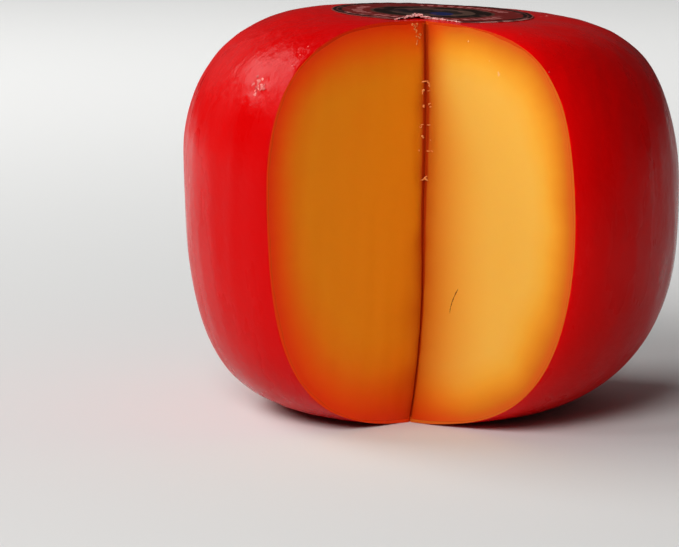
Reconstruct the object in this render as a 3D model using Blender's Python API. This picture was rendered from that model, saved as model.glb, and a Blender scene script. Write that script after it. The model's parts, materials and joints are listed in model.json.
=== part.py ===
# A ball of semi-hard cheese in a red wax coat, pressed flat at crown and foot, with a wedge
# cut out of its front, and the round paper label on its crown, torn where the cut passes.
# Metres, +Z up. The origin is the middle of the flat foot, and the cut opens towards -Y.

import math

import bmesh
import bpy
from mathutils import Vector

# The ball
BELT_RADIUS = 0.075  # at its widest
HEIGHT = 0.120  # from the foot to the crown, on the axis
CROWN_RADIUS = 0.029  # the flat that the press leaves on top
FOOT_RADIUS = 0.0225  # the flat that it stands on
CROWN_FALL = 0.036  # the crown leans: metres down for each metre towards +X

# Its outline is two curves, from the belt up to the crown and from the belt down to the foot.
# Each pair of numbers is for the -X side and the +X side, because the ball is pressed unevenly.
BELT_HEIGHT = (0.0772, 0.0592)
CROWN_PULL = (0.66, 0.55)  # how far out the crown's flat line aims, as a share of the slope
SHOULDER_RISE = (0.52, 0.96)  # how far up the belt's upright line aims, as a share of the rise
FOOT_PULL = (0.66, 0.63)
HIP_DROP = (0.92, 0.60)
FRONT_FULLNESS = 0.065  # added to the upper shares towards -Y, where the shoulder is fuller

AROUND = 84  # facets around the ball
RINGS = 20  # facets from the belt to each flat

# The cut: two upright planes that meet in one edge ahead of the ball's axis
CUT_EDGE = (-0.0019, -0.0272)
CUT_LEFT_DEGREES = 55.5  # from the edge, away from -Y towards -X
CUT_RIGHT_DEGREES = 50.5  # and towards +X

# The label
LABEL_RADIUS = 0.0304
LABEL_THICKNESS = 0.0004
LABEL_GAP = 0.0003  # between the paper and the wax
LABEL_RINGS = 7
TORN_EDGE = (  # where the paper tore away around the cut, from -X to +X
    (-0.0102, -0.0285),
    (-0.0079, -0.0247),
    (-0.0047, -0.0219),
    (-0.0008, -0.0211),
    (0.0030, -0.0229),
    (0.0061, -0.0262),
    (0.0084, -0.0295),
)

REACH = 0.12  # how far the cutters run past the ball
WAX_RED = (0.60, 0.006, 0.006, 1.0)
PASTE_YELLOW = (0.80, 0.42, 0.10, 1.0)
LABEL_BROWN = (0.045, 0.018, 0.014, 1.0)


def clear_scene():
    for item in list(bpy.data.objects):
        bpy.data.objects.remove(item, do_unlink=True)


def make_material(name, colour, roughness):
    material = bpy.data.materials.new(name)
    material.use_nodes = True
    shader = material.node_tree.nodes["Principled BSDF"]
    shader.inputs["Base Color"].default_value = colour
    shader.inputs["Roughness"].default_value = roughness
    material.diffuse_color = colour
    return material


def side_blend(pair, angle):
    """The value at this angle around the ball, between those of its -X and +X sides."""
    left, right = pair
    return (left + right) / 2 + (right - left) / 2 * math.cos(angle)


def bezier(start, first, second, end, t):
    u = 1 - t
    return u**3 * start + 3 * u * u * t * first + 3 * u * t * t * second + t**3 * end


def outline(angle, step):
    """(radius, height) of the ball's outline: step is -1 at the foot, 0 at the belt, 1 at the crown."""
    belt = side_blend(BELT_HEIGHT, angle)
    fuller = FRONT_FULLNESS * max(-math.sin(angle), 0) ** 2
    if step >= 0:
        flat, level = CROWN_RADIUS, HEIGHT
        pull = side_blend(CROWN_PULL, angle) + fuller
        rise = side_blend(SHOULDER_RISE, angle) + fuller
    else:
        flat, level = FOOT_RADIUS, 0.0
        pull = side_blend(FOOT_PULL, angle)
        rise = side_blend(HIP_DROP, angle)
    along = abs(step)
    corner = flat + pull * (BELT_RADIUS - flat)
    radius = bezier(BELT_RADIUS, BELT_RADIUS, corner, flat, along)
    height = bezier(belt, belt + min(rise, 1.0) * (level - belt), level, level, along)
    return radius, height


def leaned(x, y, z):
    """The point once the upper half leans: nothing moves below mid height, and the crown moves in full."""
    share = min(max(2 * z / HEIGHT - 1, 0), 1)
    share = share * share * (3 - 2 * share)
    return Vector((x, y, z - share * CROWN_FALL * x))


def ball_point(angle, step):
    radius, height = outline(angle, step)
    return leaned(radius * math.cos(angle), radius * math.sin(angle), height)


def crown_point(angle, radius, lift):
    """The point at this radius on top of the ball, raised by lift."""
    low, high = 0.0, 1.0
    for _ in range(30):
        middle = (low + high) / 2
        if outline(angle, middle)[0] > radius:
            low = middle
        else:
            high = middle
    height = HEIGHT if radius <= CROWN_RADIUS else outline(angle, high)[1]
    return leaned(radius * math.cos(angle), radius * math.sin(angle), height) + Vector((0, 0, lift))


def bridge(mesh, lower, upper):
    """A band of faces between two rings of points, which look outwards where upper is above lower."""
    for i in range(len(lower)):
        j = (i + 1) % len(lower)
        mesh.faces.new((lower[i], lower[j], upper[j], upper[i]))


def new_object(name, mesh, materials):
    data = bpy.data.meshes.new(name)
    mesh.to_mesh(data)
    mesh.free()
    item = bpy.data.objects.new(name, data)
    for material in materials:
        data.materials.append(material)
    bpy.context.scene.collection.objects.link(item)
    return item


def shade(item, degrees):
    item.data.shade_smooth()
    item.data.set_sharp_from_angle(angle=math.radians(degrees))


def make_ball(wax):
    mesh = bmesh.new()
    rings = []
    for k in range(-RINGS, RINGS + 1):
        step = math.sin(k / RINGS * math.pi / 2)
        rings.append([mesh.verts.new(ball_point(2 * math.pi * i / AROUND, step)) for i in range(AROUND)])
    for lower, upper in zip(rings, rings[1:]):
        bridge(mesh, lower, upper)
    mesh.faces.new(list(reversed(rings[0])))
    mesh.faces.new(rings[-1])
    ball = new_object("cheese_ball", mesh, [wax])
    shade(ball, 40)
    return ball


def make_label(paper):
    """A thin disc that follows the crown, LABEL_GAP above the wax."""
    mesh = bmesh.new()
    angles = [2 * math.pi * i / AROUND for i in range(AROUND)]

    def ring(radius, lift):
        return [mesh.verts.new(crown_point(angle, radius, lift)) for angle in angles]

    under, over = LABEL_GAP, LABEL_GAP + LABEL_THICKNESS
    radii = [LABEL_RADIUS * k / LABEL_RINGS for k in range(1, LABEL_RINGS + 1)]
    bottoms = [ring(radius, under) for radius in radii]
    tops = [ring(radius, over) for radius in radii]
    mesh.faces.new(list(reversed(bottoms[0])))
    mesh.faces.new(tops[0])
    for inner, outer in zip(bottoms, bottoms[1:]):
        bridge(mesh, inner, outer)
    for inner, outer in zip(tops, tops[1:]):
        bridge(mesh, outer, inner)
    bridge(mesh, bottoms[-1], tops[-1])
    label = new_object("label", mesh, [paper])
    shade(label, 40)
    return label


def prism(name, corners, low, high, material):
    """An upright prism on corners, which run anticlockwise seen from above."""
    mesh = bmesh.new()
    bottom = [mesh.verts.new((x, y, low)) for x, y in corners]
    top = [mesh.verts.new((x, y, high)) for x, y in corners]
    bridge(mesh, bottom, top)
    mesh.faces.new(list(reversed(bottom)))
    mesh.faces.new(top)
    cutter = new_object(name, mesh, [material])
    cutter.hide_render = True
    cutter.display_type = "WIRE"
    return cutter


def cut_direction(degrees):
    """Level direction of a cut plane from the edge: 0 is -Y, and positive turns towards +X."""
    turn = math.radians(degrees)
    return Vector((math.sin(turn), -math.cos(turn)))


def make_wedge_cutter(paste):
    edge = Vector(CUT_EDGE)
    left = edge + REACH * cut_direction(-CUT_LEFT_DEGREES)
    right = edge + REACH * cut_direction(CUT_RIGHT_DEGREES)
    front = Vector((0, -2 * REACH))
    return prism("wedge_cutter", (edge, left, front, right), -REACH / 4, HEIGHT + REACH / 4, paste)


def make_tear_cutter(paper):
    """Cuts out the label ahead of its torn edge."""
    first, last = TORN_EDGE[0][0], TORN_EDGE[-1][0]
    front = ((last, -REACH), (first, -REACH))
    corners = tuple(reversed(TORN_EDGE)) + tuple(reversed(front))
    return prism("tear_cutter", corners, HEIGHT - REACH / 4, HEIGHT + REACH / 4, paper)


def cut(item, cutter):
    """The cut faces take the cutter's material."""
    boolean = item.modifiers.new(cutter.name, "BOOLEAN")
    boolean.operation = "DIFFERENCE"
    boolean.solver = "EXACT"
    boolean.material_mode = "TRANSFER"
    boolean.object = cutter


def build():
    clear_scene()
    wax = make_material("red wax", WAX_RED, 0.35)
    paste = make_material("cheese paste", PASTE_YELLOW, 0.5)
    paper = make_material("label paper", LABEL_BROWN, 0.45)
    cut(make_ball(wax), make_wedge_cutter(paste))
    cut(make_label(paper), make_tear_cutter(paper))


build()
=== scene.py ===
import json
import math

import bmesh
import bpy
import numpy as np
from mathutils import Matrix, Vector

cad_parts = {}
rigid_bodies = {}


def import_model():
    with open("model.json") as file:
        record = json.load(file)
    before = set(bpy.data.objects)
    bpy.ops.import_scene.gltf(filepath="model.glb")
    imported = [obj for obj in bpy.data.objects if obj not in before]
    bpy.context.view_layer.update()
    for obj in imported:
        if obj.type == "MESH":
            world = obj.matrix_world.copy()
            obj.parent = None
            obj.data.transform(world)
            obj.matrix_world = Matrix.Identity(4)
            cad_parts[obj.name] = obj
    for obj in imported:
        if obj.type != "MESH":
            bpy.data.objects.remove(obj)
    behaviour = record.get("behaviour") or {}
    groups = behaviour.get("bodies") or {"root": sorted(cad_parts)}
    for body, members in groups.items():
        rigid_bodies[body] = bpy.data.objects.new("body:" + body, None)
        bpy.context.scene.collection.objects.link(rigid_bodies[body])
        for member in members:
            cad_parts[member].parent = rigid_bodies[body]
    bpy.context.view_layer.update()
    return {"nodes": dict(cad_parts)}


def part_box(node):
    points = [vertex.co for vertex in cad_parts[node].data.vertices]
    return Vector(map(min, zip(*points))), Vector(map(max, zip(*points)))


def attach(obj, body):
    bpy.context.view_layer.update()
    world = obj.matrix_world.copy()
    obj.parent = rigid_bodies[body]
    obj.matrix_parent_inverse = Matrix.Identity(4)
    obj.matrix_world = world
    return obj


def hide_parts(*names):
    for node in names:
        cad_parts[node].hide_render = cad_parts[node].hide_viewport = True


for leftover in list(bpy.data.objects):
    bpy.data.objects.remove(leftover)
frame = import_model()
print("frame loaded:", ", ".join(sorted(frame["nodes"])))

# the ball's own measures come from the frame; lengths are in metres
ballLow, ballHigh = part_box("cheese_ball")
labelLow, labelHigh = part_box("label")
beltRadius = (ballHigh[0] - ballLow[0]) / 2
mm = 0.001

ball = {
    "height": 1.600 * beltRadius,
    "crownRadius": 0.3867 * beltRadius,   # the flat that the press leaves on top
    "footRadius": 0.300 * beltRadius,
    "crownFall": 0.036,                   # the crown leans down towards +X
    "beltHeight": (0.0772, 0.0592),       # pairs are the -X side and the +X side
    "crownPull": (0.66, 0.55),
    "shoulderRise": (0.52, 0.96),
    "footPull": (0.66, 0.63),
    "hipDrop": (0.92, 0.60),
    "frontFullness": 0.065,
    "around": 390,                        # facets round the ball
    "upper": 110,                         # and along each half of a section
    "lower": 90,
}

knifeCut = {
    "edge": (-0.0019, -0.0272),           # where the two cuts meet, seen from above
    "leftDegrees": 55.5,
    "rightDegrees": 50.5,
    "fanReach": 0.16,                     # the share of the fan of lines that bends with a cut
    "slitDepth": 0.8 * mm,                # the knife ran on a little past the edge
    "slitHalf": 0.52 * mm,
    "slitSteps": 5,
    "slitReach": 2.4 * mm,                # the slit opens and closes within this reach of the edge
    "slitOpen": 0.12,
    "slitRipple": 0.10,
    "slitGape": 0.50,                     # how much it gapes at its widest
    "slitWidest": (0.086, 0.017),         # the height of that, and how far it spreads
    "slitNarrow": 0.45,                   # how much it closes towards the foot
    "slitNarrowFrom": (0.060, 0.030),     # from this height down, over this span
    "wander": 1.9 * mm,                   # how far the edge drifts to -X near the foot
    "wanderFrom": (0.048, 0.030),
    "wave": 0.28 * mm,
    "bendReach": 0.016,                   # how far from the edge the faces bend with it
}


def sideBlend(pair, angle):
    return (pair[0] + pair[1]) / 2 + (pair[1] - pair[0]) / 2 * np.cos(angle)


def bezier(start, first, second, end, t):
    u = 1 - t
    return u**3 * start + 3 * u * u * t * first + 3 * u * t * t * second + t**3 * end


def smooth(x):
    x = np.clip(x, 0, 1)
    return x * x * (3 - 2 * x)


def outlineParts(angle, upper):
    belt = sideBlend(ball["beltHeight"], angle)
    if upper:
        fuller = ball["frontFullness"] * np.maximum(-np.sin(angle), 0) ** 2
        flat, level = ball["crownRadius"], ball["height"]
        pull = sideBlend(ball["crownPull"], angle) + fuller
        rise = sideBlend(ball["shoulderRise"], angle) + fuller
    else:
        flat, level = ball["footRadius"], 0.0
        pull, rise = sideBlend(ball["footPull"], angle), sideBlend(ball["hipDrop"], angle)
    return belt, flat, level, flat + pull * (beltRadius - flat), np.minimum(rise, 1.0)


def heightAt(x, y, upper):
    # height of the ball's skin over a point of its plan, on its upper or its lower half
    angle = np.arctan2(y, x)
    radius = np.minimum(np.hypot(x, y), beltRadius)
    belt, flat, level, corner, rise = outlineParts(angle, upper)
    low, high = np.zeros_like(radius), np.ones_like(radius)
    for _ in range(36):
        middle = (low + high) / 2
        wide = bezier(beltRadius, beltRadius, corner, flat, middle) > radius
        low, high = np.where(wide, middle, low), np.where(wide, high, middle)
    z = bezier(belt, belt + rise * (level - belt), level, level, high)
    z = np.where(radius <= flat, level, z)
    return z - smooth(2 * z / ball["height"] - 1) * ball["crownFall"] * x


def cutDirection(degrees):
    turn = math.radians(degrees)
    return np.array((math.sin(turn), -math.cos(turn)))


def reachOfCircle(start, direction):
    b = start @ direction
    return -b + math.sqrt(b * b - start @ start + beltRadius**2)


edge = np.array(knifeCut["edge"])
pole = edge + np.array((0, knifeCut["slitDepth"]))
sides = {}
for sign, degrees in ((1, knifeCut["rightDegrees"]), (-1, -knifeCut["leftDegrees"])):
    way = cutDirection(degrees)
    sides[sign] = {
        "way": way,                                        # from the edge out to the rim
        "rim": edge + way * reachOfCircle(edge, way),
        "corner": edge + np.array((sign * knifeCut["slitHalf"], 0)),
        "out": np.array((way[1], -way[0], 0)) * sign,      # off the cut face, into the open
    }
slitShare = knifeCut["slitDepth"] / (knifeCut["slitDepth"] + reachOfCircle(edge, sides[1]["way"]))


def bentLine(w, side):
    # the cut seen from above: along the slit's wall, then out along the cut to the rim
    inner = np.clip(w / slitShare, 0, 1)[:, None]
    outer = np.clip((w - slitShare) / (1 - slitShare), 0, 1)[:, None]
    alongSlit = pole + inner * (side["corner"] - pole)
    alongCut = side["corner"] + outer * (side["rim"] - side["corner"])
    return np.where(w[:, None] < slitShare, alongSlit, alongCut)


def planLine(v, w):
    # line v of a fan, seen from above, that turns from the right cut (0), round the back, to the left cut (1)
    start = math.atan2(*sides[1]["rim"][::-1])
    end = math.atan2(*sides[-1]["rim"][::-1]) + 2 * math.pi
    angle = start + v * (end - start)
    rim = beltRadius * np.array((math.cos(angle), math.sin(angle)))
    line = pole + w[:, None] * (rim - pole)
    for side, near in ((sides[1], v), (sides[-1], 1 - v)):
        fade = max(1 - near / knifeCut["fanReach"], 0) ** 3
        if fade > 0:
            line = line + fade * (bentLine(w, side) - pole - w[:, None] * (side["rim"] - pole))
    return line


def halfSection(v, upper, count):
    # evenly spaced points from the pole out to the belt, which keep the slit's own steps
    steps = knifeCut["slitSteps"]
    turn = np.linspace(0, math.pi / 2, 500)
    plan = planLine(v, slitShare + (1 - slitShare) * np.sin(turn))
    z = heightAt(plan[:, 0], plan[:, 1], upper)
    length = np.r_[0, np.cumsum(np.linalg.norm(np.diff(np.c_[plan, z], axis=0), axis=1))]
    even = np.interp(np.linspace(0, length[-1], count - steps + 1), length, turn)
    slit = np.linspace(0, slitShare, steps + 1)[:-1]
    plan = planLine(v, np.r_[slit, slitShare + (1 - slitShare) * np.sin(even)])
    return np.c_[plan, heightAt(plan[:, 0], plan[:, 1], upper)]


def ballSkin():
    # rows go round the ball, columns run from the crown over the belt to the foot
    rows = []
    for v in np.linspace(0, 1, ball["around"]):
        top = halfSection(v, True, ball["upper"])
        bottom = halfSection(v, False, ball["lower"])
        rows.append(np.vstack([top, bottom[::-1][1:]]))
    return np.array(rows)


def unit(vectors):
    return vectors / np.maximum(np.linalg.norm(vectors, axis=-1, keepdims=True), 1e-12)


def sectionNormals(skin):
    # outward, and in the upright plane of each section, so a cut face stays flat
    along = np.gradient(skin, axis=1)
    belt, inner = ball["upper"], knifeCut["slitSteps"] + 15
    way = unit(skin[:, belt : belt + 1, :2] - skin[:, inner : inner + 1, :2])
    radial = (along[..., :2] * way).sum(-1, keepdims=True)
    return unit(np.concatenate([-along[..., 2:] * way, radial], axis=-1))


def pinned(grid):
    # all rows share their first and last point, so the piece closes on the knife's edge
    grid[:, 0], grid[:, -1] = grid[0, 0], grid[0, -1]
    return grid


def drift(points):
    # the knife's edge isn't quite straight: this bends everything near it sideways
    z = points[..., 2]
    reach = np.hypot(points[..., 0] - edge[0], points[..., 1] - edge[1])
    start, span = knifeCut["wanderFrom"]
    low = np.clip((start - z) / span, 0, 1.6)
    aside = -knifeCut["wander"] * low**1.6 + knifeCut["wave"] * np.sin(z * 78 + 0.4)
    widest, spread = knifeCut["slitWidest"]
    gape = knifeCut["slitGape"] * np.exp(-(((z - widest) / spread) ** 2))
    start, span = knifeCut["slitNarrowFrom"]
    wider = knifeCut["slitOpen"] + gape - knifeCut["slitNarrow"] * smooth((start - z) / span)
    wider = wider + knifeCut["slitRipple"] * np.sin(z * 610)
    opened = (points[..., 0] - edge[0]) * wider * np.exp(-((reach / knifeCut["slitReach"]) ** 2))
    moved = points.copy()
    moved[..., 0] += aside * np.exp(-((reach / knifeCut["bendReach"]) ** 2)) + opened
    return moved


# mesh and material helpers
def gridFaces(rows, columns, start=0):
    index = start + np.arange(rows * columns).reshape(rows, columns)
    return np.stack([index[:-1, :-1], index[:-1, 1:], index[1:, 1:], index[1:, :-1]], -1).reshape(-1, 4)


def meshPiece(name, points, faces, material, values=None):
    # welds points that coincide, drops what that collapses, bends the rest with the knife's drift
    # and turns every face outwards
    _, first, index = np.unique(np.round(points / 2e-7), axis=0, return_index=True, return_inverse=True)
    index = index.reshape(-1)
    kept = []
    for face in index[faces].tolist():
        face = [a for i, a in enumerate(face) if a != face[i - 1]]
        if len(set(face)) == len(face) and len(face) > 2:
            kept.append(face)
    data = bpy.data.meshes.new(name)
    data.from_pydata(drift(points[first]).tolist(), [], kept)
    for label, numbers in (values or {}).items():
        layer = data.attributes.new(label, "FLOAT", "POINT")
        layer.data.foreach_set("value", np.ascontiguousarray(numbers[first], np.float32))
    turned = bmesh.new()
    turned.from_mesh(data)
    bmesh.ops.recalc_face_normals(turned, faces=turned.faces)
    turned.to_mesh(data)
    turned.free()
    data.shade_smooth()
    data.set_sharp_from_angle(angle=math.radians(55))
    piece = bpy.data.objects.new(name, data)
    bpy.context.scene.collection.objects.link(piece)
    data.materials.append(material)
    return piece


def keep(piece, node):
    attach(piece, "root")
    if node:
        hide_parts(node)


class Shading:
    # a material's node tree, with short ways to add and link nodes
    def __init__(self, name):
        self.material = bpy.data.materials.new(name)
        self.material.use_nodes = True
        self.tree = self.material.node_tree
        self.shader = self.tree.nodes["Principled BSDF"]

    def share(self, name):
        # a value that the mesh carries at its points
        return self.add("ShaderNodeAttribute", attribute_name=name).outputs["Fac"]

    def set(self, **values):
        for name, value in values.items():
            self.shader.inputs[name.replace("_", " ")].default_value = value

    def add(self, kind, inputs=None, **settings):
        node = self.tree.nodes.new(kind)
        for name, value in settings.items():
            setattr(node, name, value)
        for name, value in (inputs or {}).items():
            if isinstance(value, bpy.types.NodeSocket):
                self.tree.links.new(value, node.inputs[name])
            else:
                node.inputs[name].default_value = value
        return node

    def link(self, socket, name):
        self.tree.links.new(socket, self.shader.inputs[name])

    def ramp(self, factor, stops, interpolation="LINEAR"):
        node = self.add("ShaderNodeValToRGB", {"Fac": factor})
        node.color_ramp.interpolation = interpolation
        elements = node.color_ramp.elements
        while len(elements) < len(stops):
            elements.new(0.5)
        for element, (place, colour) in zip(elements, stops):
            element.position = place
            element.color = (*colour, 1.0)
        return node.outputs["Color"]

    def blend(self, factor, first, second):
        node = self.add("ShaderNodeMix", data_type="RGBA")
        for socket, value in ((0, factor), (6, first), (7, second)):
            if isinstance(value, bpy.types.NodeSocket):
                self.tree.links.new(value, node.inputs[socket])
            else:
                node.inputs[socket].default_value = value if socket == 0 else (*value, 1.0)
        return node.outputs[2]

    def places(self, scale=(1, 1, 1)):
        spot = self.add("ShaderNodeTexCoord")
        return self.add("ShaderNodeMapping", {"Vector": spot.outputs["Object"], "Scale": scale}).outputs[0]

    def cloud(self, scale, detail=2.0, stretch=(1, 1, 1), roughness=0.5):
        node = self.add(
            "ShaderNodeTexNoise",
            {"Vector": self.places(stretch), "Scale": scale, "Detail": detail, "Roughness": roughness},
        )
        return node.outputs["Fac"]

    def spread(self, factor, low, high, newLow=0.0, newHigh=1.0):
        inputs = {"Value": factor, "From Min": low, "From Max": high, "To Min": newLow, "To Max": newHigh}
        return self.add("ShaderNodeMapRange", inputs).outputs["Result"]

    def math(self, operation, first, second=0.0):
        node = self.add("ShaderNodeMath", operation=operation)
        for socket, value in zip(node.inputs, (first, second)):
            if isinstance(value, bpy.types.NodeSocket):
                self.tree.links.new(value, socket)
            else:
                socket.default_value = value
        return node.outputs[0]

    def relief(self, height, strength, distance):
        bump = self.add("ShaderNodeBump", {"Height": height, "Strength": strength, "Distance": distance})
        self.link(bump.outputs["Normal"], "Normal")


# wax coat
waxCoat = {
    "thickness": 0.8 * mm,
    "uneven": 0.30,                  # how much the thickness varies
    "innerStep": 5,                  # the hidden inner side takes every fifth row
    "red": (0.60, 0.0, 0.0004),
    "deepRed": (0.54, 0.0, 0.0003),
    # painted light: the coat's cut edge is coloured lighter, standing in for light that comes through it, on
    # the right cut and on the left one
    "cutRight": (0.62, 0.115, 0.010),
    "cutLeft": (0.82, 0.052, 0.003),
    "cutFade": (0.106, 0.012, 0.6),  # from this height up, over this span, it loses this share
    "paintedGlowRed": (0.90, 0.0, 0.0006),  # painted light: the coat beside the right cut is coloured a brighter red, as if lit through the cheese
    "paintedGlowReach": 10 * mm,
    "roughness": (0.17, 0.45),
    "shine": 0.074,
    "grain": 0.22,                   # strength of the fine relief
    "rubs": 3.4,                     # small dents on the left shoulder, where the ball was handled
    "rubbedHeights": (0.088, 0.102),
    "rubbedSides": (-0.018, -0.034),
    "swell": 0.132 * mm,             # slow hollows and swellings of a dipped coat
    "runs": 0.060 * mm,              # soft upright runs, strongest on the shoulder
    "runsFrom": (0.020, 0.050),
    "runsEnd": 0.012,
    "threeSided": 0.02 * mm,
    "lip": (0.01 * mm, 0.07 * mm),   # least and most that the cut edge stands proud of the cut
    # the lip's section: share of the way inwards, and share of its height
    "lipSection": ((0, 0), (0.06, 0.4), (0.2, 0.8), (0.4, 1.0), (0.65, 0.7), (0.85, 0.3), (1, 0)),
    "scar": {"place": (-0.0505, -0.0464, 0.1025), "radius": 0.0030, "depth": 0.60 * mm},
    "drip": {
        "start": (-0.0512, -0.0466, 0.1015),
        "end": (-0.0530, -0.0482, 0.0945),
        "width": 0.0017,
        "height": 0.34 * mm,
    },
}


def waxMaterial():
    look = Shading("waxRed")
    patches = look.cloud(28, 3.0)
    colour = look.blend(look.spread(patches, 0.3, 0.7), waxCoat["deepRed"], waxCoat["red"])
    # painted light: the brighter red beside the right cut and the lighter cut edges go into the base colour
    for name, shade in (("paintedGlow", "paintedGlowRed"), ("cutRight", "cutRight"), ("cutLeft", "cutLeft")):
        colour = look.blend(look.share(name), colour, waxCoat[shade])
    look.link(colour, "Base Color")
    streaks = look.math("MULTIPLY", look.cloud(210, 2.0, (1.0, 1.0, 0.15)), 0.35)
    rubbed = look.math("ADD", look.cloud(52, 4.0, (1.0, 1.0, 0.45)), streaks)
    look.link(look.spread(rubbed, 0.48, 0.86, *waxCoat["roughness"]), "Roughness")
    look.set(IOR=1.44, Specular_IOR_Level=waxCoat["shine"])
    fine = look.cloud(420, 3.0)
    soft = look.cloud(120, 2.0, (1.0, 1.0, 0.30))
    height = look.math("ADD", look.math("MULTIPLY", soft, 1.6), fine)
    spot = look.add("ShaderNodeSeparateXYZ", {"Vector": look.places()})
    high = look.spread(spot.outputs["Z"], *waxCoat["rubbedHeights"])
    left = look.spread(spot.outputs["X"], *waxCoat["rubbedSides"])
    rubs = look.math("MULTIPLY", look.cloud(290, 3.0, (1.0, 1.0, 0.55)), look.math("MULTIPLY", high, left))
    height = look.math("ADD", height, look.math("MULTIPLY", rubs, waxCoat["rubs"]))
    look.relief(height, waxCoat["grain"], 0.6 * mm)
    return look.material


def waves(points, seed, count, lengths, stretch=(1, 1, 1)):
    # a sum of soft waves of mixed directions, from -1 to 1 or so
    draw = np.random.default_rng(seed)
    total = np.zeros(points.shape[:-1])
    for _ in range(count):
        way = unit(draw.normal(size=3)) * np.array(stretch)
        turn = 2 * math.pi / draw.uniform(*lengths)
        total += np.sin(points @ way * turn + draw.uniform(0, 2 * math.pi))
    return total / math.sqrt(count)


def scarRelief(points):
    # a chipped pit, and the ridge of a drip below it that is wider and higher at its end
    scar, drip = waxCoat["scar"], waxCoat["drip"]
    near = np.linalg.norm(points - np.array(scar["place"]), axis=-1) / scar["radius"]
    pit = -np.exp(-(near**2)) * (0.6 + 0.8 * waves(points, 31, 6, (0.0022, 0.004))) * scar["depth"]
    start, span = np.array(drip["start"]), np.array(drip["end"]) - np.array(drip["start"])
    along = np.clip(((points - start) @ span) / (span @ span), 0, 1)
    aside = np.linalg.norm(points - start - along[..., None] * span, axis=-1)
    ridge = np.exp(-((aside / (drip["width"] * (0.8 + 0.5 * along))) ** 2)) * (0.45 + 0.55 * along)
    return pit + drip["height"] * ridge


def waxRelief(points):
    z = points[..., 2]
    angle = np.arctan2(points[..., 1], points[..., 0])
    swell = waves(points, 11, 9, (0.022, 0.060)) * waxCoat["swell"]
    runs = waves(points, 23, 12, (0.005, 0.012), (1, 1, 0.12)) * waxCoat["runs"]
    start, span = waxCoat["runsFrom"]
    shoulder = smooth((z - start) / span) * smooth((ball["height"] - z) / waxCoat["runsEnd"])
    sided = waxCoat["threeSided"] * np.sin(angle * 3)
    return swell + runs * (0.4 + shoulder) + scarRelief(points) + sided


def coarse(count, step):
    rows = list(range(0, count, step))
    return rows if rows[-1] == count - 1 else rows + [count - 1]


def cutLip(outer, inner, side, row):
    # the coat's cut edge, a soft uneven lip that stands just proud of the cut
    steps = knifeCut["slitSteps"]
    raisable = np.ones(len(outer))
    raisable[: steps + 1] = raisable[-steps - 1 :] = 0
    low, high = waxCoat["lip"]
    ragged = 0.5 + 0.5 * waves(outer, 40 + row, 8, (0.003, 0.02))
    lift = (low + (high - low) * np.clip(ragged, 0, 1)) * raisable
    strip = []
    for share, raised in waxCoat["lipSection"]:
        line = outer + share * (inner - outer)
        strip.append(line + side["out"] * (lift * raised)[:, None])
    # the cut edge's painted light fades from this height up
    start, span, lost = waxCoat["cutFade"]
    faded = 1 - lost * smooth((outer[:, 2] - start) / span)
    return np.vstack(strip), np.tile(faded, len(strip))


def makeWaxCoat(skin, normals):
    outer = pinned(skin + normals * waxRelief(skin)[..., None])
    rows = coarse(len(skin), waxCoat["innerStep"])
    uneven = 1 + waxCoat["uneven"] * waves(skin[rows], 97, 9, (0.004, 0.024))
    inner = pinned(skin[rows] - normals[rows] * (waxCoat["thickness"] * uneven)[..., None])
    columns = skin.shape[1]
    outerCount, innerCount = len(skin) * columns, len(rows) * columns
    # painted light: a brighter red that fades with distance from the right cut's edge
    paintedGlow = np.exp(-np.linalg.norm(outer - outer[0], axis=-1) / waxCoat["paintedGlowReach"])
    points = [outer.reshape(-1, 3), inner.reshape(-1, 3)]
    faces = [gridFaces(len(skin), columns), gridFaces(len(rows), columns, outerCount)]
    start = outerCount + innerCount
    shares = {
        "paintedGlow": [paintedGlow.reshape(-1), np.zeros(innerCount)],
        "cutRight": [np.zeros(start)],
        "cutLeft": [np.zeros(start)],
    }
    for row, side, cutName in ((0, sides[1], "cutRight"), (-1, sides[-1], "cutLeft")):
        strip, cut = cutLip(outer[row], inner[row], side, row)
        points.append(strip)
        faces.append(gridFaces(len(waxCoat["lipSection"]), columns, start))
        start += len(strip)
        for name, numbers in shares.items():
            numbers.append(cut if name == cutName else np.zeros(len(cut)))
    values = {name: np.concatenate(numbers) for name, numbers in shares.items()}
    piece = meshPiece("waxCoat", np.vstack(points), np.vstack(faces), waxMaterial(), values)
    keep(piece, "cheese_ball")
    print("wax coat:", len(piece.data.polygons), "faces")
    return inner, rows


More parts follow.
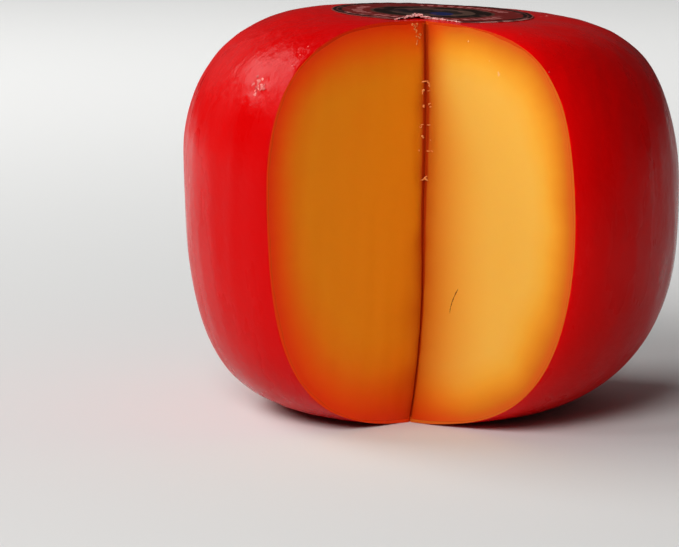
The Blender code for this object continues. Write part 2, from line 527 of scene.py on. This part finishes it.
# cheese paste
paste = {
    # colour at a depth under the wax: on the paler, lit cut, and a warmer copy that is painted shade, used
    # over the whole left cut and beside the knife's edge on the right one
    "pale": [
        (0.04, (0.66, 0.115, 0.008)),
        (0.13, (0.67, 0.170, 0.008)),
        (0.29, (0.77, 0.260, 0.013)),
        (0.46, (0.84, 0.345, 0.024)),
        (0.64, (0.85, 0.405, 0.042)),
        (0.90, (0.85, 0.445, 0.062)),
    ],
    "paintedShadeTones": [
        (0.04, (0.84, 0.045, 0.002)),
        (0.20, (0.86, 0.088, 0.002)),
        (0.36, (0.84, 0.135, 0.003)),
        (0.60, (0.82, 0.200, 0.004)),
        (0.90, (0.81, 0.235, 0.005)),
    ],
    "slitDepth": 0.1,                # the slit's walls take the colour of this depth
    "roughness": (0.36, 0.54),
    "rindDepth": 17 * mm,            # how deep the wax has tinted the paste
    "warmShadeReach": (25 * mm, 11 * mm),  # painted shade: reach of the warm, shaded tone from the knife's edge, low and at the top
    # how strongly the right cut takes the painted shade
    "paintedShadeWarmth": 0.9,
    "gap": 0.01 * mm,
    "knifeWave": 0.14 * mm,
    "across": 96,                    # facets from the edge out to the rim
    "bunching": 0.122,               # how much finer they are beside the edge and under the wax
    "stainAndShade": (0.42, 0.030, 0.001),   # red-brown smear along the knife's edge; the painted shade beside it takes this colour too
    "stainReach": 1.4 * mm,
    "shade": 0.72,                   # painted shade: a wider, weaker darkening beside the edge on the paler cut
    "shadeReach": 6.5 * mm,
    "footFrom": (0.062, 0.040),      # painted shadow: the foot is more deeply tinted, from this height down
    # painted shadow: how much wider the smear and how much stronger the tint are there, on the right and on
    # the left
    "footShadowSmear": (0.5, 2.6),
    "footShadowTint": (0.12, 0.38),
}


def pasteMaterial():
    look = Shading("cheesePaste")
    depth, paintedShadeWarmth = look.share("rindDepth"), look.share("paintedShadeWarmth")
    cloudy = look.math("MULTIPLY", look.spread(look.cloud(38, 3.0), 0.3, 0.7, -0.16, 0.16), depth)
    tint = look.math("ADD", depth, cloudy)
    # painted shade: the warm copy of the paste's colour is blended in where the cut stands in shade
    colour = look.blend(paintedShadeWarmth, look.ramp(tint, paste["pale"]), look.ramp(tint, paste["paintedShadeTones"]))
    # the red-brown smear along the edge, and painted shade beside it and at the foot
    look.link(look.blend(look.share("edgeStainAndShade"), colour, paste["stainAndShade"]), "Base Color")
    look.link(look.spread(look.cloud(70, 3.0), 0.3, 0.7, *paste["roughness"]), "Roughness")
    look.set(Subsurface_Weight=0.15, Subsurface_Radius=(1.0, 0.40, 0.10), Subsurface_Scale=0.002)
    look.set(IOR=1.42, Specular_IOR_Level=0.12)
    drag = look.cloud(90, 2.0, (0.25, 0.25, 1.6))
    look.relief(look.math("ADD", drag, look.cloud(260, 2.0)), 0.10, 0.5 * mm)
    return look.material


def distanceToLine(points, line):
    starts, ends = line[:-1], line[1:]
    span = ends - starts
    along = ((points[:, None] - starts) * span).sum(-1) / np.maximum((span**2).sum(-1), 1e-18)
    nearest = starts + np.clip(along, 0, 1)[..., None] * span
    return np.linalg.norm(points[:, None] - nearest, axis=-1).min(1)


def knifeLift(points, fromEdge):
    # the cut isn't quite flat: slow hollows, and fine drag lines that run down it
    broad = waves(points, 57, 7, (0.018, 0.050), (1, 1, 0.5))
    drag = waves(points, 63, 6, (0.004, 0.009), (1, 1, 0.15))
    return smooth(fromEdge / (4 * mm)) * paste["knifeWave"] * (0.7 * broad + 0.18 * drag)


def cutTones(depth, fromEdge, z, right):
    # the tint under the wax, the warm tone that is painted shade, and the smear along the edge with painted
    # shade beside it, from 0 to 1
    nearTop = smooth((z / ball["height"] - 0.62) / 0.3)
    start, span = paste["footFrom"]
    low = smooth((start - z) / span)
    wide, narrow = paste["warmShadeReach"]
    # painted shade: the whole left cut takes the warm tone, the right cut only near the knife's edge
    paintedShadeWarmth = np.ones_like(depth)
    if right:
        reach = wide + nearTop * (narrow - wide)
        paintedShadeWarmth = np.clip(1 - fromEdge / reach, 0, 1) ** 1.3 * paste["paintedShadeWarmth"]
    # painted shadow at the foot: a wider smear and a stronger tint
    footShadowSmear, footShadowTint = paste["footShadowSmear"][not right], paste["footShadowTint"][not right]
    ragged = 1 + 0.45 * np.sin(z * 210) * np.sin(z * 83)
    smear = paste["stainReach"] * (1 + footShadowSmear * low) * ragged
    stainAndShade = np.exp(-((fromEdge / smear) ** 1.2)) * (0.9 - 0.2 * low)
    # painted shade: a wider darkening beside the knife's edge on the right cut
    if right:
        shade = paste["shade"] * np.exp(-fromEdge / (paste["shadeReach"] * (1 - 0.45 * nearTop)))
        stainAndShade = np.maximum(stainAndShade, shade)
    tint = np.clip(depth * (1 - footShadowTint * low) / paste["rindDepth"], 0, 1)
    return {"rindDepth": tint, "paintedShadeWarmth": paintedShadeWarmth, "edgeStainAndShade": stainAndShade}


def cutFace(outline, side):
    # the slit's wall, then the face from the edge out to the rim, both hung on the outline's own points
    steps, last = knifeCut["slitSteps"], len(outline) - 1
    tall = np.linspace(0, 1, last - 2 * steps + 1)[:, None]
    wall = np.stack([outline[m] + tall * (outline[last - m] - outline[m]) for m in range(steps + 1)])
    corner = wall[-1]
    t = np.linspace(0, 1, paste["across"])
    share = t - paste["bunching"] * np.sin(2 * math.pi * t)
    rim = outline[steps : last - steps + 1]
    face = corner + share[:, None, None] * (rim - corner)
    flat = face.reshape(-1, 3)
    depth = distanceToLine(flat, rim)
    fromEdge = np.linalg.norm(face - corner, axis=-1).reshape(-1)
    tones = cutTones(depth, fromEdge, flat[:, 2], side is sides[1])
    flat = flat + side["out"] * (smooth(depth / (2 * mm)) * knifeLift(flat, fromEdge))[:, None]
    # the slit's walls take the full warm tone that is painted shade, and the full red-brown smear
    slit = {"rindDepth": paste["slitDepth"], "paintedShadeWarmth": 1.0, "edgeStainAndShade": 1.0}
    values = {name: np.r_[np.full(wall[..., 0].size, slit[name]), numbers] for name, numbers in tones.items()}
    return wall, flat, values


def makePaste(inner, normals, rows):
    outer = pinned(inner - normals[rows] * paste["gap"])
    columns = outer.shape[1]
    points, faces = [outer.reshape(-1, 3)], [gridFaces(len(rows), columns)]
    start = len(rows) * columns
    values = {name: [np.zeros(start)] for name in ("rindDepth", "paintedShadeWarmth", "edgeStainAndShade")}
    for row, side in ((0, sides[1]), (-1, sides[-1])):
        wall, face, tones = cutFace(outer[row], side)
        points += [wall.reshape(-1, 3), face]
        faces.append(gridFaces(wall.shape[0], wall.shape[1], start))
        faces.append(gridFaces(paste["across"], wall.shape[1], start + wall[..., 0].size))
        start += wall[..., 0].size + len(face)
        for name, numbers in tones.items():
            values[name].append(numbers)
    values = {name: np.concatenate(numbers) for name, numbers in values.items()}
    piece = meshPiece("cheesePaste", np.vstack(points), np.vstack(faces), pasteMaterial(), values)
    keep(piece, None)
    print("cheese paste:", len(piece.data.polygons), "faces")


# paper label
paper = {
    "radius": (labelHigh[0] - labelLow[0]) / 2,
    "thickness": 0.16 * mm,
    "float": 0.05 * mm,          # how far it stands off the wax
    "around": 300,
    "across": 42,
    # where the paper tore away around the cut, from -X to +X
    "tornEdge": (
        (-0.0102, -0.0285), (-0.0079, -0.0247), (-0.0047, -0.0219), (-0.0008, -0.0211),
        (0.0030, -0.0229), (0.0061, -0.0262), (0.0084, -0.0295),
    ),
    "ragged": 0.32 * mm,
    "curl": 0.95 * mm,           # the torn rim lifts off the wax, most at curlAt
    "curlAt": -0.0050,
    "curlSpread": 0.0036,
    "rimLift": 0.16 * mm,
    "liftReach": 1.5 * mm,
    "wrinkle": 0.07 * mm,
    # print, by share of the radius
    "rings": [
        (0.000, (0.020, 0.012, 0.010)),
        (0.300, (0.085, 0.045, 0.032)),
        (0.425, (0.013, 0.006, 0.004)),
        (0.585, (0.075, 0.030, 0.020)),
        (0.615, (0.150, 0.012, 0.010)),
        (0.895, (0.016, 0.006, 0.005)),
        (0.935, (0.110, 0.030, 0.025)),
        (0.950, (0.016, 0.006, 0.005)),
        (0.985, (0.260, 0.060, 0.050)),
    ],
    "mark": (0.42, 0.13, 0.12),
    "marks": 46,                 # short dashes round the red ring
    "markBand": (0.75, 0.055),   # middle and half width of their ring
    # ovals of the picture in the middle: place and half sizes, by share of the radius
    "darkOval": (-0.16, 0.02, 0.27, 0.24),
    "blueOval": (0.09, -0.16, 0.115, 0.20),
    "dark": (0.014, 0.009, 0.010),
    "blue": (0.010, 0.016, 0.075),
    "edge": (0.62, 0.27, 0.24),  # the worn line along the near rim
    "wornBand": (0.902, 0.020),
    "torn": (0.80, 0.42, 0.38),
    "tornShare": 0.42,
    "roughness": (0.42, 0.60),
}


def paperMaterial():
    look = Shading("labelPaper")
    spot = look.add("ShaderNodeSeparateXYZ", {"Vector": look.places()})
    x, y = spot.outputs["X"], spot.outputs["Y"]
    radius = look.math("SQRT", look.math("ADD", look.math("MULTIPLY", x, x), look.math("MULTIPLY", y, y)))
    share = look.math("DIVIDE", radius, paper["radius"])
    printed = look.ramp(share, paper["rings"], "CONSTANT")

    def within(middleX, middleY, halfX, halfY):
        # 1 inside an oval that is given in shares of the radius
        across = look.math("SUBTRACT", x, middleX * paper["radius"])
        across = look.math("DIVIDE", across, halfX * paper["radius"])
        along = look.math("SUBTRACT", y, middleY * paper["radius"])
        along = look.math("DIVIDE", along, halfY * paper["radius"])
        squares = look.math("MULTIPLY", across, across), look.math("MULTIPLY", along, along)
        return look.math("LESS_THAN", look.math("ADD", *squares), 1.0)

    def inBand(value, band):
        # 1 within so far of the band's middle
        node = look.math("COMPARE", value, band[0])
        node.node.inputs[2].default_value = band[1]
        return node

    turn = look.math("MULTIPLY", look.math("ARCTAN2", y, x), paper["marks"] / (2 * math.pi))
    dash = look.math("GREATER_THAN", look.math("FRACT", turn), 0.42)
    gaps = look.math("GREATER_THAN", look.cloud(62, 2.0), 0.47)
    marks = look.math("MULTIPLY", look.math("MULTIPLY", dash, inBand(share, paper["markBand"])), gaps)
    colour = look.blend(marks, printed, paper["mark"])
    colour = look.blend(within(*paper["darkOval"]), colour, paper["dark"])
    colour = look.blend(within(*paper["blueOval"]), colour, paper["blue"])
    # the worn line runs inside the left part of the rim and along the right part of it
    right = look.math("MULTIPLY", look.math("GREATER_THAN", x, 0.0), 0.080)
    worn = inBand(look.math("SUBTRACT", share, right), paper["wornBand"])
    worn = look.math("MULTIPLY", worn, look.spread(look.cloud(240), 0.44, 0.54, 0.0, 0.8))
    worn = look.math("MULTIPLY", worn, look.math("LESS_THAN", y, -0.30 * paper["radius"]))
    colour = look.blend(worn, colour, paper["edge"])
    rubbed = look.spread(look.cloud(230, 4.0), 0.56, 0.70, 0.0, 0.30)
    colour = look.blend(rubbed, colour, paper["mark"])
    patchy = look.spread(look.cloud(420, 1.0), 0.35, 0.65, -0.28, 0.28)
    bare = look.math("ADD", look.share("fromTear"), patchy)
    bare = look.math("ADD", bare, look.spread(look.cloud(900, 2.0), 0.3, 0.7, -0.2, 0.2))
    bare = look.math("LESS_THAN", bare, paper["tornShare"])
    look.link(look.blend(bare, colour, paper["torn"]), "Base Color")
    look.link(look.spread(look.cloud(120, 3.0), 0.3, 0.7, *paper["roughness"]), "Roughness")
    look.set(IOR=1.45, Specular_IOR_Level=0.05)
    look.relief(look.cloud(1500, 3.0), 0.12, 0.3 * mm)
    return look.material


def tornRadius(angle):
    # how far the paper reaches from its middle: its round edge, or the torn one
    whole = paper["radius"] * (1 + 0.0022 * np.sin(angle * 9 + 0.6) * np.sin(angle * 2.0))
    torn = np.array(paper["tornEdge"])
    turns = np.arctan2(torn[:, 1], torn[:, 0])
    reach = np.interp(angle, turns, np.hypot(torn[:, 0], torn[:, 1]))
    place = np.stack([angle * 0.03, angle * 0, angle * 0], -1)
    reach = reach + waves(place, 71, 9, (0.0006, 0.0035)) * paper["ragged"]
    inside = (angle > turns[0]) & (angle < turns[-1])
    return np.where(inside, np.minimum(reach, whole), whole)


def curlHeight(x):
    # how far the torn rim stands off the wax, from -X to +X
    return paper["curl"] * np.exp(-(((x - paper["curlAt"]) / paper["curlSpread"]) ** 2)) + paper["rimLift"]


def waxTop(x, y):
    # the top of the wax under a point of the crown
    z = heightAt(x, y, True)
    return z + waxRelief(np.stack([x, y, z], -1))


def makeLabel():
    torn = np.array(paper["tornEdge"])
    start, end = math.atan2(*torn[0][::-1]), math.atan2(*torn[-1][::-1])
    fine = np.linspace(start, end, paper["around"] // 2)
    broad = np.linspace(end, start + 2 * math.pi, paper["around"] // 2 + 1)[1:]
    angle = np.r_[fine, broad]
    reach = tornRadius((angle + math.pi) % (2 * math.pi) - math.pi)
    rows, columns = len(angle), paper["across"]
    share = 1 - (1 - np.linspace(0, 1, columns)) ** 1.5      # finer towards the rim
    radius = reach[:, None] * share
    x, y = (radius * np.cos(angle)[:, None]).reshape(-1), (radius * np.sin(angle)[:, None]).reshape(-1)
    fromTear = distanceToLine(np.c_[x, y], torn)
    lift = curlHeight(x) * np.exp(-((fromTear / paper["liftReach"]) ** 2))
    wrinkles = waves(np.c_[x, y, x * 0], 83, 8, (0.006, 0.020)) * paper["wrinkle"]
    low = waxTop(x, y) + paper["float"] + lift + np.abs(wrinkles) * smooth(fromTear / (3 * mm))
    points = [np.c_[x, y, low], np.c_[x, y, low + paper["thickness"]]]
    rim = np.arange(rows) * columns + columns - 1
    top = rim + rows * columns
    faces = [gridFaces(rows, columns), gridFaces(rows, columns, rows * columns)]
    faces.append(np.stack([rim[:-1], rim[1:], top[1:], top[:-1]], -1))
    narrow = 1 + 1.6 * smooth((x + 0.002) / 0.003)     # little bare paper shows to the right
    tear = np.clip(fromTear * narrow / mm, 0, 1)
    values = {"fromTear": np.r_[tear, tear]}
    piece = meshPiece("paperLabel", np.vstack(points), np.vstack(faces), paperMaterial(), values)
    keep(piece, "label")
    print("paper label:", len(piece.data.polygons), "faces")


# crumbs, flakes and specks
def onCut(side, along, height, out=0.0):
    # a point of a cut face: so far from the knife's edge, so high, so far off the face
    face = sides[side]
    spot = np.r_[face["corner"] + face["way"] * along, height]
    return spot + face["out"] * (out + knifeLift(spot[None], np.array((along,)))[0])


def lump():
    sphere = bmesh.new()
    bmesh.ops.create_icosphere(sphere, subdivisions=2, radius=1.0)
    points = np.array([vert.co[:] for vert in sphere.verts])
    faces = np.array([[vert.index for vert in face.verts] for face in sphere.faces])
    sphere.free()
    return points, faces


def frameOf(out, turn):
    # a turned set of axes whose third one is "out"
    third = unit(np.array(out, float))
    helper = np.array((0.0, 0.0, 1.0)) if abs(third[2]) < 0.9 else np.array((0.0, 1.0, 0.0))
    first = unit(np.cross(helper, third))
    second = np.cross(third, first)
    c, s = math.cos(turn), math.sin(turn)
    return np.array([c * first + s * second, c * second - s * first, third])


def scatter(name, bits, material):
    # bits: place, half sizes along its axes, outward direction, turn, paleness
    base, triangles = lump()
    draw = np.random.default_rng(len(name) * 7)
    points, faces, pale = [], [], []
    for place, size, out, turn, paleness in bits:
        rough = np.ones(len(base))
        for _ in range(5):
            way = unit(draw.normal(size=3)) * draw.uniform(2, 5)
            rough += 0.17 * np.sin(base @ way + draw.uniform(0, 6))
        shape = base * rough[:, None] * np.array(size)
        points.append(shape @ frameOf(out, turn) + np.array(place))
        faces.append(triangles + len(base) * (len(points) - 1))
        pale.append(np.full(len(base), paleness))
    values = {"paleness": np.concatenate(pale)}
    piece = meshPiece(name, np.vstack(points), np.vstack(faces), material, values)
    keep(piece, None)
    print(name + ":", len(bits), "bits")


crumbs = {
    "orange": (0.80, 0.22, 0.050),
    "pale": (0.90, 0.44, 0.14),
    "size": (0.12 * mm, 0.36 * mm),
    # a loose cluster under the label, which leans towards the knife's edge as it falls
    "top": {"along": (0.6 * mm, 4.4 * mm), "height": (0.1128, 0.1196), "count": 28, "spread": 0.75 * mm},
    "kerfHeights": (0.0987, 0.0952, 0.0891, 0.0849, 0.0817),
    "kerfSpread": 0.5 * mm,
    # longer shreds that hang on the edge: sideways from the edge, height, half length, turn
    "shreds": (
        (-0.3 * mm, 0.1022, 0.75 * mm, 0.15),
        (0.55 * mm, 0.1017, 0.55 * mm, -1.1),
        (0.75 * mm, 0.1009, 0.40 * mm, -1.4),
        (0.0 * mm, 0.0736, 0.55 * mm, 0.9),
        (0.35 * mm, 0.0731, 0.45 * mm, -0.7),
        (-0.35 * mm, 0.0730, 0.35 * mm, 0.3),
        (0.7 * mm, 0.0893, 0.50 * mm, 0.1),
    ),
    "shredThickness": (0.22 * mm, 0.18 * mm),
    # the chip is partly a real chip and partly painted highlight, pale where it catches the light; the specks
    # are painted glints on small pits
    "chip": {"along": 26.8 * mm, "height": 0.1063, "size": (1.35 * mm, 1.0 * mm, 0.22 * mm)},
    "specks": ((15.5 * mm, 0.1149), (23.5 * mm, 0.1098), (31.0 * mm, 0.1012)),
    "speckSize": (0.30 * mm, 0.24 * mm, 0.14 * mm),
}


def crumbMaterial():
    look = Shading("cheeseCrumb")
    pale = look.share("paleness")
    uneven = look.math("ADD", pale, look.spread(look.cloud(900, 2.0), 0.3, 0.7, -0.15, 0.15))
    look.link(look.blend(uneven, crumbs["orange"], crumbs["pale"]), "Base Color")
    look.set(Roughness=0.55, Specular_IOR_Level=0.15)
    look.relief(look.cloud(2500, 2.0), 0.15, 0.3 * mm)
    return look.material


def makeCrumbs():
    draw = np.random.default_rng(5)
    left, right, front = sides[-1]["out"], sides[1]["out"], (0, -1, 0)
    bits = []
    top = crumbs["top"]
    for _ in range(top["count"]):
        height = draw.uniform(*top["height"])
        low, high = top["along"]
        centre = low + (high - low) * (0.35 + 0.5 * (height - top["height"][0]) / 0.007) * 0.9
        size = draw.uniform(*crumbs["size"])
        along = max(centre + draw.normal() * top["spread"], 0.4 * mm)
        spot = onCut(-1, along, height, size * 0.35)
        halves = (size, size * 0.75, size * 0.55)
        bits.append((spot, halves, left, draw.uniform(0, 3), draw.uniform(0.0, 0.25)))
    for height in crumbs["kerfHeights"]:
        for _ in range(draw.integers(2, 5)):
            size = draw.uniform(*crumbs["size"]) * 1.1
            side = draw.choice((-1, 1))
            along = abs(draw.normal()) * crumbs["kerfSpread"]
            spot = onCut(side, along, height + draw.normal() * crumbs["kerfSpread"], size * 0.4)
            halves = (size * 1.3, size * 0.7, size * 0.7)
            bits.append((spot, halves, front, draw.uniform(0, 3), draw.uniform(0.0, 0.35)))
    for aside, height, length, turn in crumbs["shreds"]:
        spot = np.array((edge[0] + aside, edge[1] - 0.25 * mm, height))
        bits.append((spot, (length, *crumbs["shredThickness"]), front, turn, 0.15))
    # painted highlight: the chip and the specks take the pale colour
    chip = crumbs["chip"]
    bits.append((onCut(1, chip["along"], chip["height"], 0.05 * mm), chip["size"], right, 0.7, 1.0))
    for along, height in crumbs["specks"]:
        bits.append((onCut(1, along, height, 0.03 * mm), crumbs["speckSize"], right, 0.3, 0.9))
    scatter("cheeseCrumbs", bits, crumbMaterial())


darkMarks = {
    "colour": (0.050, 0.006, 0.001),
    "soft": (0.110, 0.016, 0.002),
    "dot": (34.5 * mm, 0.0954),
    "dotSize": (0.26 * mm, 0.22 * mm, 0.10 * mm),
    # a fine hair-like crack, by distance from the edge and height, from its thick end to its thin one
    "crack": ((12.8 * mm, 0.0418), (10.8 * mm, 0.0380), (9.9 * mm, 0.0343)),
    "crackWidth": 0.23 * mm,
    "crackTurn": -0.48,
    "crackBits": 48,
}


def makeDarkMarks():
    look = Shading("darkFleck")
    look.link(look.blend(look.cloud(700), darkMarks["colour"], darkMarks["soft"]), "Base Color")
    look.set(Roughness=0.6, Specular_IOR_Level=0.05)
    out = sides[1]["out"]
    bits = [(onCut(1, *darkMarks["dot"], 0.02 * mm), darkMarks["dotSize"], out, 0.4, 0)]
    first, bend, last = (np.array(spot) for spot in darkMarks["crack"])
    control = 2 * bend - (first + last) / 2
    for t in np.linspace(0, 1, darkMarks["crackBits"]):
        along, height = (1 - t) ** 2 * first + 2 * t * (1 - t) * control + t * t * last
        width = darkMarks["crackWidth"] * (0.30 + 0.7 * (1 - t) ** 0.8)
        halves = (width, width * 2.4, 0.07 * mm)
        bits.append((onCut(1, along, height, 0.01 * mm), halves, out, darkMarks["crackTurn"], 0))
    scatter("darkMarks", bits, look.material)


scuffs = {
    # the scar's flakes run from a dark red, painted shade of its pits, to a pale pink, partly scraped wax and
    # partly painted highlight
    "flakeAndHighlight": (0.95, 0.33, 0.29),
    "wax": (0.42, 0.001, 0.001),
    "count": 40,
    "size": (0.20, 0.92),            # half lengths of the scar's flakes, in millimetres
    "spread": (1.32 * mm, 1.08 * mm),
    "tilt": 0.20,
    # lone specks of wax: places seen from above
    "specks": (
        (-0.0358, -0.0456), (-0.0452, -0.0414), (-0.0380, -0.0478), (-0.0402, -0.0500),
        (0.0327, 0.0022), (0.0346, 0.0070), (0.0334, -0.0550), (0.0256, -0.0402),
    ),
    "speckSize": (0.16, 0.34),
}


def skinOut(spot):
    # the skin's outward direction over a point of its plan, from its slope
    x, y = spot[:2]
    step = 0.5 * mm
    z = heightAt(np.array((x - step, x + step, x, x)), np.array((y, y, y - step, y + step)), True)
    return unit(np.array((z[0] - z[1], z[2] - z[3], 2 * step)))


def makeWaxBits():
    look = Shading("waxFlake")
    # the flakes' colours hold painted pit shade and painted highlight
    look.link(look.blend(look.share("paleness"), scuffs["wax"], scuffs["flakeAndHighlight"]), "Base Color")
    look.set(Roughness=0.42, Specular_IOR_Level=0.20)
    draw = np.random.default_rng(17)
    bits = []
    scar = np.array(waxCoat["scar"]["place"])
    out = skinOut(scar)
    first, second, _ = frameOf(out, 0)
    for _ in range(scuffs["count"]):
        across, along = draw.normal(size=2) * np.array(scuffs["spread"])
        spot = scar + across * first + along * second
        spot = spot + out * waxRelief(spot[None])[0]
        size = draw.uniform(*scuffs["size"]) * mm
        tilt = unit(out + draw.normal(size=3) * scuffs["tilt"])
        bits.append((spot, (size, size * 0.6, size * 0.18), tilt, draw.uniform(0, 3), draw.uniform(0, 1)))
    for x, y in scuffs["specks"]:
        size = draw.uniform(*scuffs["speckSize"]) * mm
        spot = (x, y, waxTop(np.array([x]), np.array([y]))[0])
        bits.append((spot, (size, size * 0.7, size * 0.4), skinOut(spot), draw.uniform(0, 3), 0.75))
    scatter("waxBits", bits, look.material)


fringe = {
    "white": (0.90, 0.56, 0.52),
    "pink": (0.74, 0.20, 0.17),
    "count": 95,
    "turns": (-1.93, -1.31),     # the fibres run between these turns about the label's middle
    "size": (0.10, 0.24),        # half widths, in millimetres
    "ragged": 0.16 * mm,
    "missing": 0.45,             # share of fibres that are gone to the right
}


def makeFringe():
    # torn paper fibres along the torn edge, thickest where the paper curls up
    look = Shading("tornFibre")
    look.link(look.blend(look.share("paleness"), fringe["pink"], fringe["white"]), "Base Color")
    look.set(Roughness=0.7, Specular_IOR_Level=0.2)
    draw = np.random.default_rng(29)
    bits = []
    for turn in np.linspace(*fringe["turns"], fringe["count"]):
        angle = turn + draw.normal() * 0.004
        reach = float(tornRadius(np.array([angle]))[0]) + draw.normal() * fringe["ragged"]
        x, y = reach * math.cos(angle), reach * math.sin(angle)
        if x > -0.001 and draw.uniform() < fringe["missing"]:
            continue
        size = draw.uniform(*fringe["size"]) * mm * (1.5 if abs(x - paper["curlAt"]) < 0.0035 else 1.0)
        z = waxTop(np.array([x]), np.array([y]))[0] + curlHeight(x) * draw.uniform(0.55, 1.05) + 0.1 * mm
        out = unit(np.array((draw.normal() * 0.4, -0.8, 0.7 + draw.normal() * 0.4)))
        halves = (size * 2.0, size, size * 0.5)
        bits.append(((x, y, z), halves, out, draw.normal() * 0.5, draw.uniform(0.2, 1)))
    scatter("tornPaper", bits, look.material)


skin = ballSkin()
normals = sectionNormals(skin)
print("ball outline:", skin.shape[0], "by", skin.shape[1], "points")
inner, innerRows = makeWaxCoat(skin, normals)
makePaste(inner, normals, innerRows)
makeLabel()
makeFringe()
makeCrumbs()
makeDarkMarks()
makeWaxBits()


# floor, lamps and camera
studio = {
    "floor": (0.74, 0.74, 0.73),
    "floorSize": 12.0,
    "air": 0.05,
    "window": {"azimuth": -108, "elevation": 39, "distance": 2.0, "size": (1.35, 0.95), "watts": 23.0},
    "side": {"azimuth": -142, "elevation": 20, "distance": 2.0, "size": (1.2, 0.70), "watts": 0.6},
    "key": {"azimuth": -62, "elevation": 34, "distance": 2.0, "size": (0.70, 0.70), "watts": 7.5},
    "front": {"azimuth": -19, "elevation": 35, "distance": 2.0, "size": (0.92, 0.77), "watts": 25.5},
    # turned away from the ball, so it lights only the floor behind it
    "backFloor": {"place": (0, 0.8, 1.3), "aim": (0, 2.8, 0), "size": (2.6, 0.8), "watts": 22.0},
}
view = {
    "distance": 1.0586,
    "elevation": 8.14,
    "lens": 184.85,
    "aim": (-0.0276, -0.0195),       # the aim, to the side of the ball and below its middle
    "roll": 0.23,
}
middle = Vector((0, 0, 0.8015 * beltRadius))


def direction(azimuth, elevation):
    # azimuth 0 looks at the ball from -Y, and grows towards +X
    a, e = math.radians(azimuth), math.radians(elevation)
    return Vector((math.sin(a) * math.cos(e), -math.cos(a) * math.cos(e), math.sin(e)))


def addLamp(name, plan, place, aim):
    data = bpy.data.lights.new(name, "AREA")
    data.shape = "RECTANGLE"
    data.size, data.size_y = plan["size"]
    data.energy = plan["watts"]
    lamp = bpy.data.objects.new(name, data)
    lamp.location = place
    lamp.rotation_euler = (aim - lamp.location).to_track_quat("-Z", "Y").to_euler()
    bpy.context.scene.collection.objects.link(lamp)


def addLamps():
    for name in ("window", "side", "key", "front"):
        plan = studio[name]
        place = middle + plan["distance"] * direction(plan["azimuth"], plan["elevation"])
        addLamp(name, plan, place, middle)
    plan = studio["backFloor"]
    addLamp("backFloor", plan, plan["place"], Vector(plan["aim"]))


def addFloor():
    look = Shading("paleFloor")
    look.set(Base_Color=(*studio["floor"], 1.0), Roughness=0.9, Specular_IOR_Level=0.0)
    bpy.ops.mesh.primitive_plane_add(size=studio["floorSize"], location=(0, 0, 0))
    floor = bpy.context.object
    floor.name = "floor"
    floor.data.materials.append(look.material)


def addAir():
    world = bpy.data.worlds.new("studioAir")
    world.use_nodes = True
    background = world.node_tree.nodes["Background"]
    background.inputs["Color"].default_value = (1, 1, 1, 1)
    background.inputs["Strength"].default_value = studio["air"]
    bpy.context.scene.world = world


def addCamera():
    data = bpy.data.cameras.new("camera")
    data.lens = view["lens"]
    data.sensor_width = 36
    camera = bpy.data.objects.new("camera", data)
    camera.location = middle + view["distance"] * direction(0, view["elevation"])
    lookUp = Vector((0, math.sin(math.radians(view["elevation"])), math.cos(math.radians(view["elevation"]))))
    aim = middle + Vector((view["aim"][0], 0, 0)) + lookUp * view["aim"][1]
    turn = (aim - camera.location).to_track_quat("-Z", "Y").to_matrix()
    camera.rotation_euler = (turn @ Matrix.Rotation(math.radians(view["roll"]), 3, "Z")).to_euler()
    bpy.context.scene.collection.objects.link(camera)
    bpy.context.scene.camera = camera


addFloor()
addAir()
addLamps()
addCamera()
bpy.context.scene.view_settings.view_transform = "Standard"
print("floor, lamps and camera are in")
